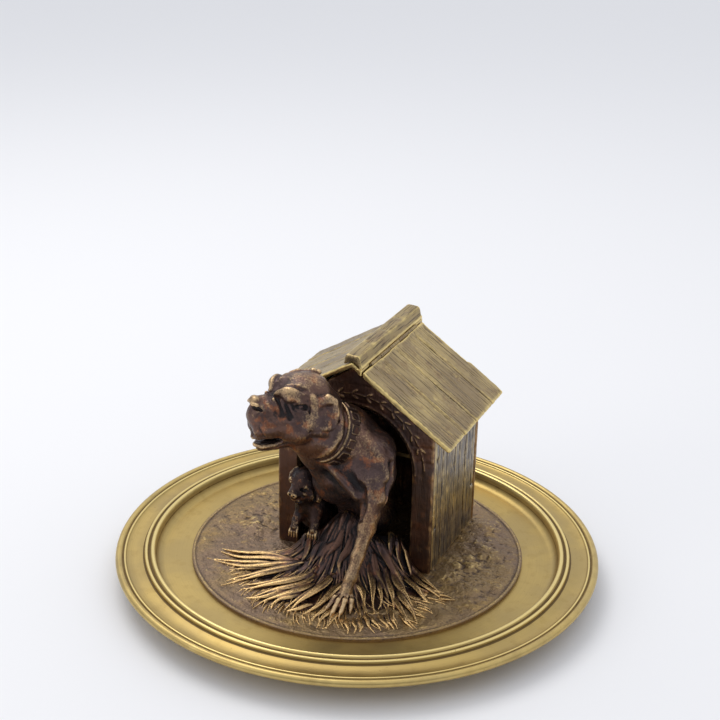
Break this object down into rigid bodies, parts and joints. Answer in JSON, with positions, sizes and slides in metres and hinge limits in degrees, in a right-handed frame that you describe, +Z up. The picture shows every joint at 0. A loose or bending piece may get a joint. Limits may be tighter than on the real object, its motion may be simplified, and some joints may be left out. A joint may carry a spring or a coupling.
{
  "type": "desk inkstand",
  "caption": "Cast bronze desk inkstand: a kennel with a dog and a puppy on a turned brass dish; half of the roof is a hinged lid over a glazed ink pot.",
  "frame": {"origin": "centre of the dish at table level, under the foot ring", "axes": "+Z up; the kennel's doorway faces -Y; +X is to the right of someone who faces the doorway"},
  "size_m": [0.25, 0.25, 0.1268],
  "materials": {
    "dish_brass": "satin aged brass, brown in the grooves",
    "ground_bronze": "matt brown patina, rubbed on the high spots",
    "straw_bronze": "dark brown patina with bright worn ridges",
    "dog_bronze": "red-brown patina with rubbed highlights",
    "panel_bronze": "dark red-brown patina over wood grain",
    "wall_brass": "grey aged brass with board joints",
    "roof_brass": "olive aged brass with fine wood grain",
    "cap_brass": "aged brass, bright along its edges",
    "fixing_brass": "dull brass",
    "pin_steel": "drawn wire",
    "white_glaze": "clear glaze over white body"
  },
  "bodies": {
    "stand": {"dish": "dish_brass", "ground_plate": "ground_bronze", "straw_bed": "straw_bronze", "mother_dog": "dog_bronze", "puppy": "dog_bronze", "kennel_front": "panel_bronze", "kennel_back": "panel_bronze", "kennel_left_wall": "wall_brass", "kennel_right_wall": "wall_brass", "corner_posts": "fixing_brass", "panel_screws": "fixing_brass", "roof_right_slope": "roof_brass", "roof_cleats": "fixing_brass", "roof_screws": "fixing_brass", "hinge_pin": "pin_steel", "well_shelf": "fixing_brass", "shelf_ledges": "fixing_brass", "ledge_screws": "fixing_brass", "shelf_screws": "fixing_brass", "tie_studs": "fixing_brass", "tie_washers": "fixing_brass", "tie_nuts": "fixing_brass", "figure_screws": "fixing_brass"},
    "lid": {"roof_lid": "roof_brass", "ridge_cap": "cap_brass", "cap_rivets": "fixing_brass"},
    "pot": {"ink_pot": "white_glaze"}
  },
  "joints": [
    {"name": "lid_hinge", "type": "hinge", "parent": "stand", "child": "lid", "pos_m": [0.00795, 0.02, 0.11896], "axis": [0, 1, 0], "range_deg": [-3, 110]},
    {"name": "pot_lift", "type": "slide", "parent": "stand", "child": "pot", "axis": [0, 0, 1], "range_m": [0, 0.026]}
  ]
}
